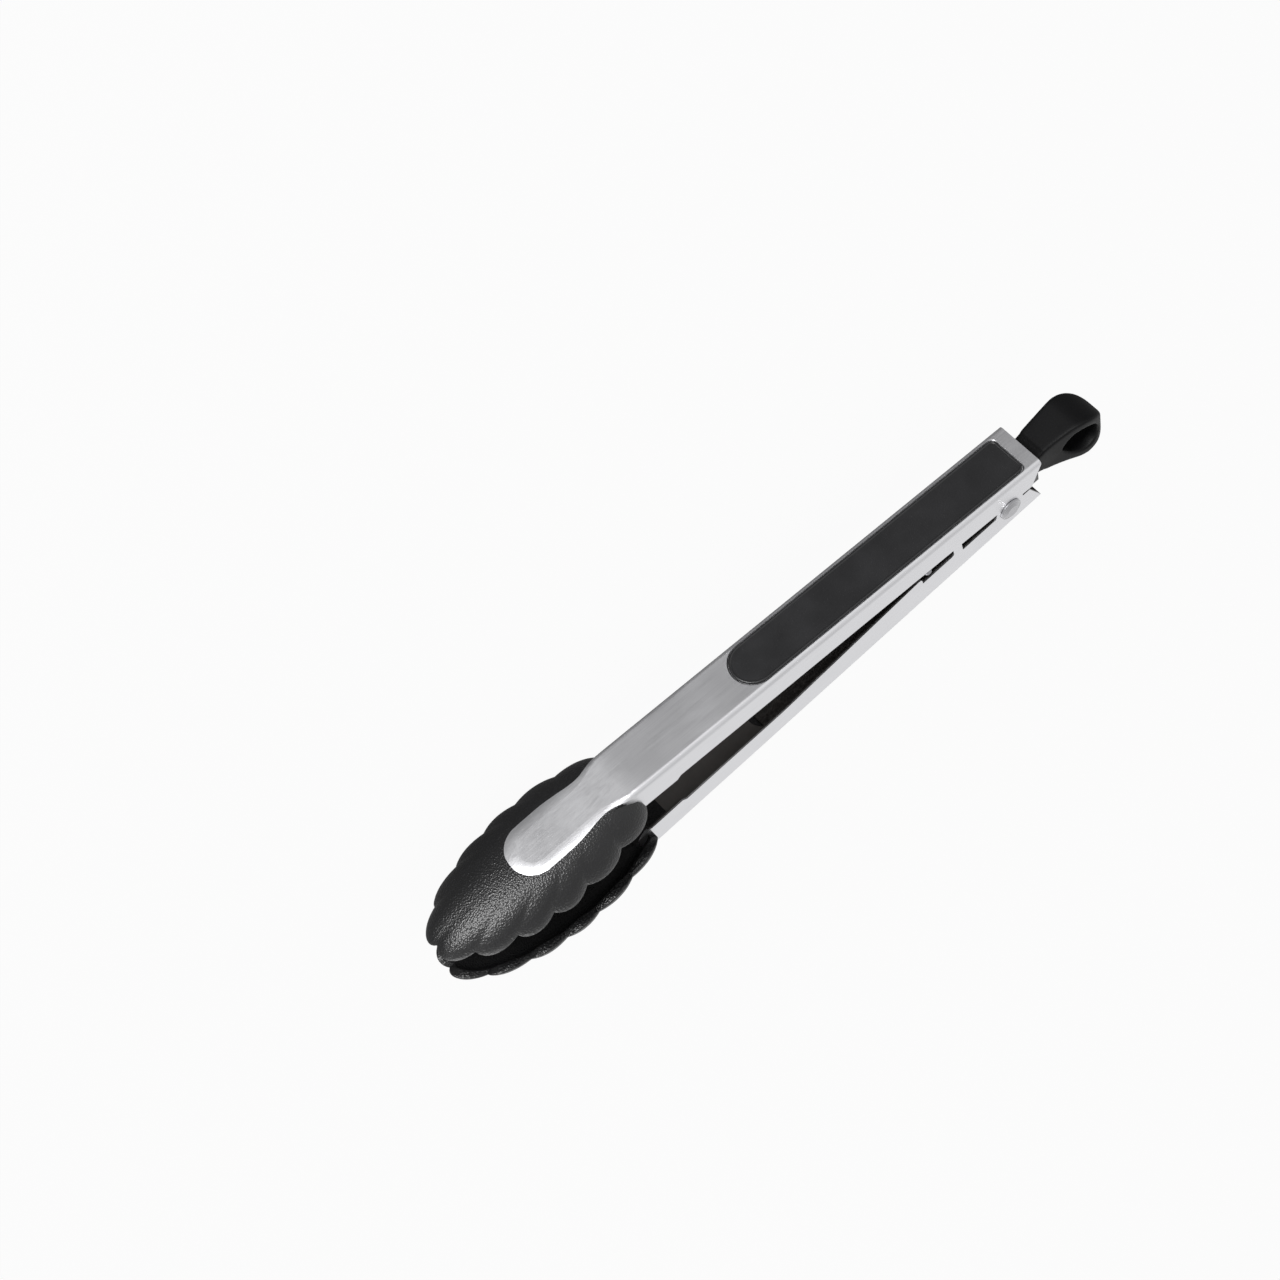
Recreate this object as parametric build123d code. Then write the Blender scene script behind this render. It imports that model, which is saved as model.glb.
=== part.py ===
from build123d import *
import math
import os

# Spring-loaded locking kitchen tongs, lying on their side with the hinge axis upright.
# Every piece is drawn in an arm frame: hinge axis on Z, arm along +X, web of the thumb arm on -Y.
# The finger arm is the same set of pieces turned half a turn about X.
# Lengths are millimetres, angles are degrees.

# Sheet-steel arm: a channel with its web outwards, bent inwards a little where the head starts
SHEET = 1.0
ARM_WIDTH = 18.0
FOLD_RADIUS = 1.6
WEB_TO_HINGE = 11.8
FLANGE_DEPTH = 9.6
HEAD_FLANGE_DEPTH = 10.8
HEAD_FLANGE_LENGTH = 14.0
HEAD_FLANGE_RAMP = 1.5
FLANGE_TO_BEND = 1.0
FLANGE_END_RADIUS = 8.6
TAIL_LENGTH = 13.0
TAIL_RAKE = 22.0
BEND_X = 146.0
BEND_RADIUS = 60.0
HEAD_TILT = 4.75

# Tongue: the narrowed end of the web, rolled over at its edges and let in flush on the back of the head
TONGUE_LENGTH = 41.0
TONGUE_NECK_OFFSET = 0.5
TONGUE_NECK_LENGTH = 8.0
TONGUE_WAIST_HALF = 7.3
TONGUE_PARALLEL = 7.5
TONGUE_HALF = 8.5
TONGUE_EDGE_DEPTH = 1.9
TONGUE_FLAT_HALF = 5.0
TONGUE_ROLL_RADIUS = 13.0
TONGUE_ROLL_START = 9.0

# Hinge: rivet through four ears, two from each arm, layered one inside the other
LAYER_CLEARANCE = 0.2
PIN_DIAMETER = 4.0
PIN_CLEARANCE = 0.05
EAR_RADIUS = 5.6
RIVET_HEAD_DIAMETER = 7.6
RIVET_HEAD_HEIGHT = 1.3
RIVET_HEAD_CONE = 0.8
RIVET_HEAD_CLEARANCE = 0.1
SLEEVE_DIAMETER = 6.2

# Swing of one arm from the hinge's middle plane: closed, as stored here, and fully open
CLOSED_ANGLE = 1.45
REST_ANGLE = 3.2
OPEN_ANGLE = 16.2

# Inner flange: deepens towards the hinge and ends in a hook that catches the lock bar
DEEP_START = 92.0
DEEP_END = 35.0
DEEP_RISE = 4.1
DEEP_CORNER_RADIUS = 1.2
HOOK_BACK = 3.4
FINGER_THICKNESS = 1.7
FINGER_OVERLAP = 2.4
FINGER_RADIUS = 0.7
HOOK_NOTCH_RADIUS = 0.9

# Lock: a nylon slide that straddles the rivet, with a steel cross bar and a soft pull tab
BAR_DIAMETER = 2.5
BAR_X = 32.0
LOCK_TRAVEL = 8.0
LOCK_CLEARANCE = 0.35
RAIL_THICKNESS = 1.6
RAIL_HALF_HEIGHT = 3.4
SLIDE_NOSE_HALF_HEIGHT = 2.5
SLIDE_NOSE_LENGTH = 3.0
SLIDE_TAPER_START = 13.0
SLIDE_TAPER_END = 20.0
SLOT_CLEARANCE = 0.1
BRIDGE_CLEARANCE = 2.0
NOSE_RADIUS = 1.2
STEM_LENGTH = 3.6
STEM_HALF_HEIGHT = 2.2
STEM_HALF_WIDTH = 4.2

# Pull tab: a soft loop with a drop-shaped hanging hole
TAB_GAP = 1.2
TAB_LENGTH = 27.3
TAB_WIDTH = 15.6
TAB_NECK_WIDTH = 11.2
TAB_CORNER_RADIUS = 5.2
TAB_NECK_HALF = 4.2
TAB_RADIUS = 9.3
HOLE_RADIUS = 5.8
HOLE_TIP_RADIUS = 1.6
HOLE_TIP_OFFSET = 5.4

# Torsion spring round the sleeve, legs pressing the arms apart
WIRE_DIAMETER = 1.3
WIRE_SIDES = 8
COIL_RADIUS = 4.3
COIL_TURNS = 4
COIL_CLEARANCE = 0.15
LEG_REACH = 40.0
LEG_CLEARANCE = 0.05

# Grip: a soft pad let into a window of the web, on a nylon backing inside the channel
PAD_REAR = -8.0
PAD_FRONT = 101.5
PAD_HALF = 7.1
PAD_REAR_RADIUS = 2.0
PAD_PROUD = 0.5
PAD_EDGE = 0.3
PAD_BEAD_WIDTH = 1.1
PAD_DISH = 0.3
RECESS_DEPTH = 0.45
RECESS_BEVEL = 45.0
WINDOW_INSET = 1.4
PAD_CLEARANCE = 0.05
BACKING_THICKNESS = 1.2
BACKING_REAR = 9.0
BACKING_FRONT = 98.0
BACKING_HALF = 7.0

# Head: a scalloped nylon cup moulded round the tongue, its offsets measured from the bend
HEAD_DEPTH = 11.2
RIM_NOTCH_DEPTH = 1.9
RIM_NOTCH_REACH = 5.0
RIM_OFFSET = 31.0
RIM_HALF_LENGTH = 40.9
RIM_HALF_WIDTH = 17.2
CROWN_OFFSET = 19.0
CROWN_HALF_LENGTH = 14.0
CROWN_HALF_WIDTH = 5.5
CUSP_ANGLES = (0.0, 34.0, 58.0, 76.5, 94.0, 115.5, 140.0)
LOBE_BULGE = 1.3
LOBE_FADE = 2
HEAD_WALL = 2.0
HEAD_FLOOR = 2.4
CROWN_DROP = 0.25
CUP_STEPS = 8
HOLLOW_STEPS = 5
PLUG_OVERLAP = 8.0
PLUG_DEPTH = 8.5

# Sizes that follow from the ones above
layer_offset = (SHEET + LAYER_CLEARANCE) / 2
web_outer = -WEB_TO_HINGE
web_inner = web_outer + SHEET
outer_face = ARM_WIDTH / 2 + layer_offset
inner_layer = ARM_WIDTH / 2 - layer_offset
rail_outer = inner_layer - SHEET - 2 * LAYER_CLEARANCE
rail_inner = rail_outer - RAIL_THICKNESS
pin_radius = PIN_DIAMETER / 2
bar_radius = BAR_DIAMETER / 2
wire_radius = WIRE_DIAMETER / 2
locked_x = BAR_X - LOCK_TRAVEL
tab_front = -TAIL_LENGTH - TAB_GAP
backing_face = web_inner + BACKING_THICKNESS
sleeve_length = 2 * (rail_inner - LAYER_CLEARANCE)
channel_depth = WEB_TO_HINGE + EAR_RADIUS + SHEET
bend_half = BEND_RADIUS * math.tan(math.radians(HEAD_TILT / 2))
flange_end = BEND_X - FLANGE_TO_BEND
head_flange_start = flange_end - HEAD_FLANGE_LENGTH
tongue_end_x = BEND_X + TONGUE_LENGTH
neck_x = BEND_X + TONGUE_NECK_OFFSET
head_frame = Location((BEND_X, web_outer, 0), (0, 0, HEAD_TILT))
cusp_angles = [-a for a in reversed(CUSP_ANGLES[1:])] + list(CUSP_ANGLES)


def plate(outline, low_z, high_z):
    """Solid from a side-view outline in XY between two heights."""
    return extrude(Pos(0, 0, low_z) * outline, amount=high_z - low_z, dir=(0, 0, 1))


def plan_plate(outline, near_y, far_y):
    """Solid from a plan outline drawn as (x, z), standing between two depths along Y."""
    plan = Plane(origin=(0, near_y, 0), x_dir=(1, 0, 0), z_dir=(0, 1, 0))
    return extrude(plan * outline, amount=far_y - near_y, dir=(0, 1, 0))


def mirrored(points):
    """Closed outline points from the upper half of a shape that is symmetric about X."""
    return points + [(x, -y) for x, y in reversed(points)]


def channel_section(half, top, flat, radius):
    """Outline across the arm as (z, -y): open below, flat on top, with a round edge on each side."""
    reach = half - flat
    drop = radius - math.sqrt(radius ** 2 - reach ** 2)
    middle = math.asin(reach / radius) / 2
    shoulder = flat + radius * math.sin(middle), -top - radius * (1 - math.cos(middle))
    right = Line((half, -channel_depth), (half, -top - drop))
    edge = ThreePointArc((half, -top - drop), shoulder, (flat, -top))
    sides = right + edge
    return make_face(sides + mirror(sides, Plane.YZ) + Line((-flat, -top), (flat, -top))
                     + Line((-half, -channel_depth), (half, -channel_depth)))


def rolled_block(half, end_half, top):
    """Block under one skin of the tongue: the channel section eased into a rolled one with a round end."""
    flat = ARM_WIDTH / 2 - FOLD_RADIUS
    roll_radius = TONGUE_ROLL_RADIUS - top
    round_x = TONGUE_LENGTH - TONGUE_HALF
    folded = channel_section(half, top, flat, FOLD_RADIUS - top)
    rolled = channel_section(end_half, top, TONGUE_FLAT_HALF, roll_radius)
    across = Plane(origin=(0, 0, 0), x_dir=(0, 0, 1), z_dir=(1, 0, 0))
    ease = loft([Pos(bend_half, 0, 0) * (across * folded),
                 Pos(bend_half + TONGUE_ROLL_START, 0, 0) * (across * rolled)], ruled=True)
    straight = extrude(Pos(bend_half + TONGUE_ROLL_START, 0, 0) * (across * rolled),
                       amount=round_x - bend_half - TONGUE_ROLL_START, dir=(1, 0, 0))
    half_rolled = rolled & Pos(end_half / 2, -channel_depth / 2) * Rectangle(end_half, 2 * channel_depth)
    axis = Axis((round_x, 0, 0), (0, 1, 0))
    end = revolve(Pos(round_x, 0, 0) * (across * half_rolled), axis, 180)
    return ease + straight + end


def tongue():
    """Rolled-over sheet from the bend to the end of the tongue, before its outline is cut."""
    outer = rolled_block(ARM_WIDTH / 2, ARM_WIDTH / 2, 0)
    inner = rolled_block(ARM_WIDTH / 2 - SHEET, ARM_WIDTH / 2 + SHEET, SHEET)
    return head_frame * Pos(0, 0, layer_offset) * (outer - inner)


def channel():
    """Bent channel with flanges deep enough for every ear and hook, and the sheet of the tongue."""
    section = Pos(channel_depth / 2, 0) * Rectangle(channel_depth, ARM_WIDTH)
    hollow = Pos(SHEET + channel_depth / 2, 0) * Rectangle(channel_depth, ARM_WIDTH - 2 * SHEET)
    section = fillet(section.vertices().sort_by(Axis.X)[:2], FOLD_RADIUS)
    hollow = fillet(hollow.vertices().sort_by(Axis.X)[:2], FOLD_RADIUS - SHEET)
    start = (-TAIL_LENGTH, web_outer, layer_offset)
    straight = Line(start, (BEND_X - bend_half, web_outer, layer_offset))
    bend = JernArc(straight @ 1, straight % 1, BEND_RADIUS, HEAD_TILT)
    frame = Plane(origin=start, x_dir=(0, 1, 0), z_dir=(1, 0, 0))
    return sweep(frame * (section - hollow), path=straight + bend) + tongue()


def flange_outline(edge_points):
    """Side view of one flange with its web and tongue; edge_points run from the tail to the step."""
    tilt = math.tan(math.radians(HEAD_TILT))
    skin = web_outer - 2 * SHEET
    edge = web_outer + FLANGE_DEPTH
    deep_edge = web_outer + HEAD_FLANGE_DEPTH
    sweep_x = flange_end + FLANGE_END_RADIUS
    sweep_y = web_outer + (sweep_x - BEND_X) * tilt + TONGUE_EDGE_DEPTH
    tip_x = tongue_end_x + TONGUE_HALF
    tip_y = web_outer + (tip_x - BEND_X) * tilt + TONGUE_EDGE_DEPTH
    rake = FLANGE_DEPTH * math.tan(math.radians(TAIL_RAKE))
    points = [(-TAIL_LENGTH, skin), (-TAIL_LENGTH, web_outer + SHEET), (-TAIL_LENGTH + rake, edge)]
    points += edge_points
    points += [(head_flange_start, edge), (head_flange_start + HEAD_FLANGE_RAMP, deep_edge)]
    points += [(flange_end, deep_edge), (flange_end, sweep_y + FLANGE_END_RADIUS)]
    lower = Polyline(points)
    corner = RadiusArc(lower @ 1, (sweep_x, sweep_y), FLANGE_END_RADIUS)
    rest = Polyline((sweep_x, sweep_y), (tip_x, tip_y), (tip_x, skin), (-TAIL_LENGTH, skin))
    return make_face(lower + corner + rest) + Circle(EAR_RADIUS)


def hook_outline():
    """Side view of the hook and the notch that the lock bar slides into."""
    edge = web_outer + FLANGE_DEPTH
    reach = bar_radius + LOCK_CLEARANCE
    floor = locked_x * math.sin(math.radians(CLOSED_ANGLE)) - reach
    tip_x = locked_x + bar_radius + FINGER_OVERLAP
    finger_low = tip_x * math.sin(math.radians(REST_ANGLE)) + reach
    finger_high = finger_low + FINGER_THICKNESS
    back_x = locked_x - reach - LOCK_CLEARANCE
    rear_x = back_x - HOOK_BACK
    shape = make_face(Polyline((rear_x, edge - SHEET), (rear_x, finger_high), (tip_x, finger_high),
                               (tip_x, finger_low), (back_x, finger_low), (back_x, floor),
                               (DEEP_END, floor), (DEEP_END, edge - SHEET), (rear_x, edge - SHEET)))
    tip = shape.vertices().filter_by(lambda v: abs(v.X - tip_x) < FINGER_RADIUS)
    shape = fillet(tip, FINGER_RADIUS)
    inner = shape.vertices().filter_by(lambda v: abs(v.X - back_x) < HOOK_NOTCH_RADIUS)
    return fillet(inner, HOOK_NOTCH_RADIUS)


def arm():
    """Thumb arm: the channel trimmed to its two flange outlines and its plan outline."""
    edge = web_outer + FLANGE_DEPTH
    blank = channel()
    plain_flange = plate(flange_outline([]), layer_offset, ARM_WIDTH)
    deep = [(DEEP_END, edge), (DEEP_END, edge + DEEP_RISE), (DEEP_START, edge)]
    deep_side = flange_outline(deep)
    corner = deep_side.vertices().sort_by_distance((DEEP_END, edge + DEEP_RISE))[:1]
    deep_side = fillet(corner, DEEP_CORNER_RADIUS) + hook_outline()
    hooked_flange = plate(deep_side, -ARM_WIDTH, layer_offset)
    body = blank & (plain_flange + hooked_flange)
    round_x = tongue_end_x - TONGUE_HALF
    neck = Spline((neck_x, ARM_WIDTH / 2), (neck_x + TONGUE_NECK_LENGTH, TONGUE_WAIST_HALF),
                  (round_x - TONGUE_PARALLEL, TONGUE_HALF), tangents=[(1, 0), (1, 0)])
    side = Polyline((-TAIL_LENGTH, 0), (-TAIL_LENGTH, ARM_WIDTH), (neck_x, ARM_WIDTH),
                    (neck_x, ARM_WIDTH / 2))
    nose = Line(neck @ 1, (round_x, TONGUE_HALF))
    tip = RadiusArc(nose @ 1, (tongue_end_x, 0), TONGUE_HALF)
    half = make_face(side + neck + nose + tip + Line(tip @ 1, (-TAIL_LENGTH, 0)))
    plan = Pos(0, layer_offset) * (half + mirror(half, Plane.XZ))
    body &= plan_plate(Rot(180, 0, 0) * plan, -2 * WEB_TO_HINGE, 2 * WEB_TO_HINGE)
    body -= Cylinder(pin_radius + PIN_CLEARANCE, 4 * ARM_WIDTH)
    body -= pad_pocket()
    return body


def pad_outline(shrink):
    """Plan of the grip pad, round at the thumb end, drawn smaller all round by shrink."""
    half = PAD_HALF - shrink
    front = PAD_FRONT - shrink - half
    rear = PAD_REAR + shrink
    block = Pos((front + rear) / 2, 0) * Rectangle(front - rear, 2 * half)
    block = fillet(block.vertices().sort_by(Axis.X)[:2], PAD_REAR_RADIUS)
    return Pos(0, -layer_offset) * (block + Pos(front, 0) * Circle(half))


def pad_pocket():
    """Bevelled recess and window in the web that take the pad."""
    plan = Plane(origin=(0, web_outer, 0), x_dir=(1, 0, 0), z_dir=(0, 1, 0))
    bevel = RECESS_DEPTH * math.tan(math.radians(RECESS_BEVEL))
    mouth = extrude(plan * pad_outline(-PAD_CLEARANCE - bevel), amount=RECESS_DEPTH,
                    dir=(0, 1, 0), taper=RECESS_BEVEL)
    return mouth + plan_plate(pad_outline(WINDOW_INSET - PAD_CLEARANCE), web_outer, web_inner + SHEET)


def grip():
    """Soft pad: a beaded lip in the recess and a body that fills the window."""
    top = web_outer - PAD_PROUD
    lip = plan_plate(pad_outline(0), top, web_outer + RECESS_DEPTH)
    lip = chamfer(lip.faces().sort_by(Axis.Y)[0].edges(), PAD_EDGE)
    dish = plan_plate(pad_outline(PAD_BEAD_WIDTH), top - PAD_DISH, top + PAD_DISH)
    body = plan_plate(pad_outline(WINDOW_INSET), web_outer, web_inner)
    return lip - dish + body


def backing():
    """Nylon backing strip inside the channel, under the pad."""
    length = BACKING_FRONT - BACKING_REAR
    strip = Pos((BACKING_FRONT + BACKING_REAR) / 2, -layer_offset) * Rectangle(length, 2 * BACKING_HALF)
    strip = fillet(strip.vertices(), PAD_REAR_RADIUS)
    return plan_plate(strip, web_inner, backing_face)


def head_section(turn, inset, floor, marks, lobe):
    """Outline of the cup with a lobe between marks; turn runs from 0 at the rim to 90 at the crown."""
    share = math.cos(math.radians(turn))
    depth = HEAD_DEPTH - (HEAD_DEPTH - floor) * math.sin(math.radians(turn))

    def spot(angle, bulge):
        c, s = math.cos(math.radians(angle)), math.sin(math.radians(angle))
        swell = bulge * share ** LOBE_FADE - inset
        rim_x = RIM_OFFSET + (RIM_HALF_LENGTH + swell) * c
        rim_z = (RIM_HALF_WIDTH + swell) * s
        crown_x = CROWN_OFFSET + (CROWN_HALF_LENGTH - inset / 2) * c
        crown_z = (CROWN_HALF_WIDTH - inset / 2) * s
        x = crown_x + (rim_x - crown_x) * share
        return (x, depth, crown_z + (rim_z - crown_z) * share)

    lobes = Curve()
    for a, b in zip(marks, marks[1:]):
        lobes += ThreePointArc(spot(a, 0), spot((a + b) / 2, lobe), spot(b, 0))
    return make_face(lobes + Line(spot(marks[-1], 0), spot(marks[0], 0)))


def cup(inset, floor, steps, marks, lobe):
    """Spoon-backed solid built up in steps from the rim to the crown."""
    turns = [90 * k / steps for k in range(steps + 1)]
    return loft([head_section(turn, inset, floor, marks, lobe) for turn in turns], ruled=True)


def rim_notch(before, angle, after):
    """Cutter for the notch in the rim at one cusp, falling away to the middle of the lobe on each side."""
    def rim_point(a):
        turn = math.radians(a)
        return Vector(RIM_OFFSET + RIM_HALF_LENGTH * math.cos(turn), 0, RIM_HALF_WIDTH * math.sin(turn))

    turn = math.radians(angle)
    outward = Vector(math.cos(turn) / RIM_HALF_LENGTH, 0, math.sin(turn) / RIM_HALF_WIDTH).normalized()
    along = Vector(outward.Z, 0, -outward.X)
    middle = rim_point(angle)
    ahead = (rim_point((before + angle) / 2) - middle).dot(along)
    behind = (rim_point((angle + after) / 2) - middle).dot(along)
    apex = (0, HEAD_DEPTH - RIM_NOTCH_DEPTH)
    rise = TangentArc((ahead, HEAD_DEPTH), apex, tangent=(-1, 0))
    fall = TangentArc((behind, HEAD_DEPTH), apex, tangent=(1, 0))
    deep = HEAD_DEPTH + SHEET
    top = Polyline((behind, HEAD_DEPTH), (behind, deep), (ahead, deep), (ahead, HEAD_DEPTH))
    plane = Plane(origin=middle - outward * RIM_NOTCH_REACH, x_dir=along, z_dir=outward)
    return extrude(plane * make_face(rise + fall + top), amount=2 * RIM_NOTCH_REACH)


def head(arm_solid):
    """Nylon head: hollow cup with a plug that fills the end of the channel."""
    plug_reach = CROWN_OFFSET + CROWN_HALF_LENGTH * math.cos(math.radians(CUSP_ANGLES[-1]))
    plug = Rectangle(plug_reach + PLUG_OVERLAP, ARM_WIDTH - 2 * SHEET)
    plug = Pos(BEND_X + (plug_reach - PLUG_OVERLAP) / 2, -layer_offset) * plug
    plug = plan_plate(plug, web_inner, web_outer + PLUG_DEPTH)
    body = cup(0, CROWN_DROP, CUP_STEPS, cusp_angles, LOBE_BULGE)
    hollow = cup(HEAD_WALL, HEAD_FLOOR, HOLLOW_STEPS, cusp_angles[::2], 0)
    for before, angle, after in zip(cusp_angles, cusp_angles[1:], cusp_angles[2:]):
        body -= rim_notch(before, angle, after)
    return head_frame * body + plug - head_frame * hollow - arm_solid


def rivet():
    """Hinge rivet: a shank with a bevelled head on each side."""
    reach = outer_face + RIVET_HEAD_CLEARANCE
    head = Cylinder(RIVET_HEAD_DIAMETER / 2, RIVET_HEAD_HEIGHT)
    head = chamfer(head.edges().sort_by(Axis.Z)[-1:], RIVET_HEAD_CONE, 2 * RIVET_HEAD_CONE)
    head = Pos(0, 0, reach + RIVET_HEAD_HEIGHT / 2) * head
    return Cylinder(pin_radius, 2 * reach) + head + mirror(head, Plane.XY)


def sleeve():
    """Spacer sleeve on the rivet that carries the coil."""
    bore = Cylinder(pin_radius + PIN_CLEARANCE, sleeve_length)
    return Cylinder(SLEEVE_DIAMETER / 2, sleeve_length) - bore


def biarc(start, start_dir, end, end_dir):
    """Two tangent arcs from one point and direction to another."""
    gap = end - start
    along = gap.dot(start_dir + end_dir)
    bend = 2 * (1 - start_dir.dot(end_dir))
    arm_length = (math.sqrt(along ** 2 + bend * gap.dot(gap)) - along) / bend
    first = start + start_dir * arm_length
    second = end - end_dir * arm_length
    joint = (first + second) * 0.5
    return [TangentArc(start, joint, tangent=start_dir),
            TangentArc(joint, end, tangent=(second - first).normalized())]


def torsion_spring():
    """One wire: a leg, the coil and the other leg, with the pitch eased in at both ends."""
    rest = math.radians(REST_ANGLE)
    tip_y = LEG_REACH * math.sin(rest) - backing_face * math.cos(rest) - wire_radius - LEG_CLEARANCE
    tip_angle = math.atan2(tip_y, LEG_REACH)
    tangent_angle = math.acos(COIL_RADIUS / math.hypot(LEG_REACH, tip_y))
    first = tip_angle + tangent_angle
    total = 2 * math.pi * (COIL_TURNS + 1) - 2 * first
    steps = math.ceil(total / (math.pi / 2))
    step = total / steps
    rise = (sleeve_length - 2 * COIL_CLEARANCE - WIRE_DIAMETER) / (steps - 1)

    def node(k):
        a = first + k * step
        height = rise * (min(max(k - 0.5, 0), steps - 1) - (steps - 1) / 2)
        climb = 0 if k in (0, steps) else rise
        spot = Vector(COIL_RADIUS * math.cos(a), COIL_RADIUS * math.sin(a), height)
        return spot, Vector(-math.sin(a) * COIL_RADIUS * step, math.cos(a) * COIL_RADIUS * step, climb)

    nodes = [(spot, way.normalized()) for spot, way in map(node, range(steps + 1))]
    low, high = nodes[0][0].Z, nodes[-1][0].Z
    edges = [Line((LEG_REACH, tip_y, low), nodes[0][0])]
    for (spot, way), (next_spot, next_way) in zip(nodes, nodes[1:]):
        edges += biarc(spot, way, next_spot, next_way)
    edges.append(Line(nodes[-1][0], (LEG_REACH, -tip_y, high)))
    wire = Wire(edges)
    print("spring least gap to itself", round(self_gap(wire), 3), "mm")
    end_plane = Plane(origin=wire @ 0, z_dir=wire % 0)
    return sweep(end_plane * RegularPolygon(wire_radius, WIRE_SIDES), path=wire)


def self_gap(wire):
    """Least clear distance between stretches of the wire that are over half a turn apart."""
    count = 600
    points = [wire @ (i / count) for i in range(count + 1)]
    apart = math.ceil(math.pi * COIL_RADIUS / (wire.length / count))
    least = min((p - q).length for i, p in enumerate(points) for q in points[i + apart:])
    return least - WIRE_DIAMETER


def lock_slide():
    """Nylon slide: two slotted rails joined by a nose that holds the bar and a rear bridge with a stem."""
    nose_x = BAR_X + SLIDE_NOSE_LENGTH
    upper = [(tab_front, RAIL_HALF_HEIGHT), (SLIDE_TAPER_START, RAIL_HALF_HEIGHT),
             (SLIDE_TAPER_END, SLIDE_NOSE_HALF_HEIGHT), (nose_x, SLIDE_NOSE_HALF_HEIGHT)]
    side = make_face(Polyline(mirrored(upper), close=True))
    side = fillet(side.vertices().sort_by(Axis.X)[-2:], NOSE_RADIUS)
    body = plate(side, -rail_outer, rail_outer)
    coil_edge = COIL_RADIUS + wire_radius + BRIDGE_CLEARANCE
    opening_end = BAR_X - SLIDE_NOSE_LENGTH
    opening = Rectangle(opening_end + coil_edge, 4 * RAIL_HALF_HEIGHT)
    body -= plate(Pos((opening_end - coil_edge) / 2, 0) * opening, -rail_inner, rail_inner)
    slot = Pos(LOCK_TRAVEL / 2, 0) * SlotCenterToCenter(LOCK_TRAVEL, PIN_DIAMETER + 2 * SLOT_CLEARANCE)
    body -= plate(slot, -rail_outer, rail_outer)
    body -= Pos(BAR_X, 0, 0) * Cylinder(bar_radius, 2 * rail_outer)
    return body + stem()


def stem():
    """Block at the back of the slide that the pull tab is moulded on."""
    block = Box(STEM_LENGTH, 2 * STEM_HALF_HEIGHT, 2 * STEM_HALF_WIDTH)
    return Pos(tab_front - STEM_LENGTH / 2, 0, 0) * block


def lock_bar():
    """Steel cross bar that the hooks catch."""
    bar = Pos(BAR_X, 0, 0) * Cylinder(bar_radius, 2 * inner_layer)
    return chamfer(bar.edges(), LOCK_CLEARANCE)


def pull_tab():
    """Soft loop behind the steel, with a drop-shaped hole along the hinge axis."""
    end_x = tab_front - TAB_LENGTH
    centre_x = end_x + TAB_RADIUS
    neck = Line((tab_front, -TAB_NECK_HALF), (tab_front, TAB_NECK_HALF))
    side = make_hull(neck.edges() + (Pos(centre_x, 0) * Circle(TAB_RADIUS)).edges())
    base = Line((tab_front, -TAB_NECK_WIDTH / 2), (tab_front, TAB_NECK_WIDTH / 2))
    corner = Pos(end_x + TAB_CORNER_RADIUS, TAB_WIDTH / 2 - TAB_CORNER_RADIUS) * Circle(TAB_CORNER_RADIUS)
    plan = make_hull(base.edges() + corner.edges() + mirror(corner, Plane.XZ).edges())
    wide = Pos(centre_x, 0) * Circle(HOLE_RADIUS)
    narrow = Pos(centre_x + HOLE_TIP_OFFSET, 0) * Circle(HOLE_TIP_RADIUS)
    drop = make_hull(wide.edges() + narrow.edges())
    body = plate(side, -TAB_WIDTH, TAB_WIDTH) & plan_plate(plan, -TAB_RADIUS, TAB_RADIUS)
    return body - plate(drop, -TAB_WIDTH, TAB_WIDTH) - stem()


def main():
    arm_solid = arm()
    thumb_side = {"arm": arm_solid, "head": head(arm_solid), "grip": grip(), "grip_backing": backing()}
    pieces = {}
    for name, solid in thumb_side.items():
        swung = Rot(0, 0, -REST_ANGLE) * solid
        pieces["thumb_" + name] = swung
        pieces["finger_" + name] = Rot(180, 0, 0) * swung
    pieces["hinge_rivet"] = rivet()
    pieces["hinge_sleeve"] = sleeve()
    pieces["torsion_spring"] = torsion_spring()
    pieces["lock_slide"] = lock_slide()
    pieces["lock_bar"] = lock_bar()
    pieces["pull_tab"] = pull_tab()
    boxes = [solid.bounding_box() for solid in pieces.values()]
    low_x, high_x = min(b.min.X for b in boxes), max(b.max.X for b in boxes)
    floor_z = min(b.min.Z for b in boxes)
    shift = Pos(-(low_x + high_x) / 2, 0, -floor_z)
    os.makedirs("parts", exist_ok=True)
    for name, solid in pieces.items():
        export_step(shift * solid, f"parts/{name}.step")
    print("length", high_x - low_x, "hinge axis at x", -(low_x + high_x) / 2, "z of the middle", -floor_z)


main()
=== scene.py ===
import math

import bpy
from mathutils import Matrix, Vector


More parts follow.
